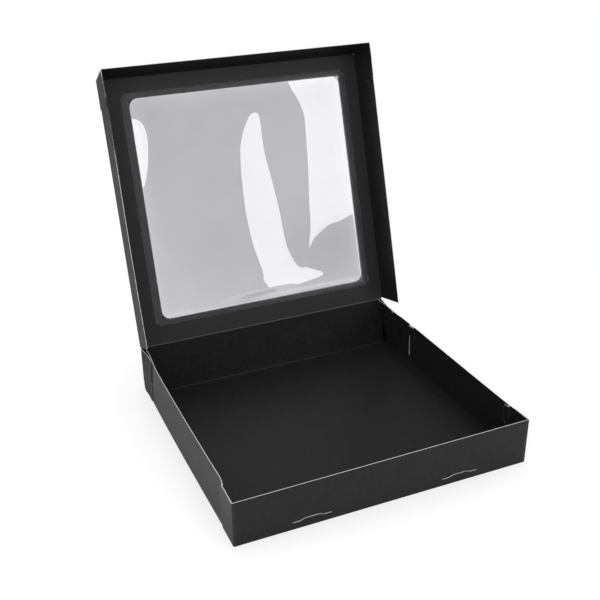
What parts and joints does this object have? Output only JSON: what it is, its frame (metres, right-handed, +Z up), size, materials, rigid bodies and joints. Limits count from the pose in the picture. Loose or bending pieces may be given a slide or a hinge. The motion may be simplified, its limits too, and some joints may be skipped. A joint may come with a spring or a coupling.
{
  "type": "sushi box",
  "caption": "Shallow square card tray with a hinged lid standing open, a large rounded window in the lid and a clear film glued behind it.",
  "frame": {"origin": "middle of the tray's underside, halfway between the front wall's outside and the lid's fold, on the ground", "axes": "+X to the right along the front wall, +Y from the front wall to the lid's fold, +Z up"},
  "size_m": [0.2534, 0.312, 0.2864],
  "materials": {
    "black_card": "matte",
    "clear_film": "gloss"
  },
  "bodies": {
    "tray": {"tray": "black_card"},
    "lid": {"lid": "black_card", "window_film": "clear_film"}
  },
  "joints": [
    {"name": "lid_hinge", "type": "hinge", "parent": "tray", "child": "lid", "pos_m": [0, 0.12, 0.04098], "axis": [1, 0, 0], "range_deg": [-72.7, 107.3]}
  ]
}
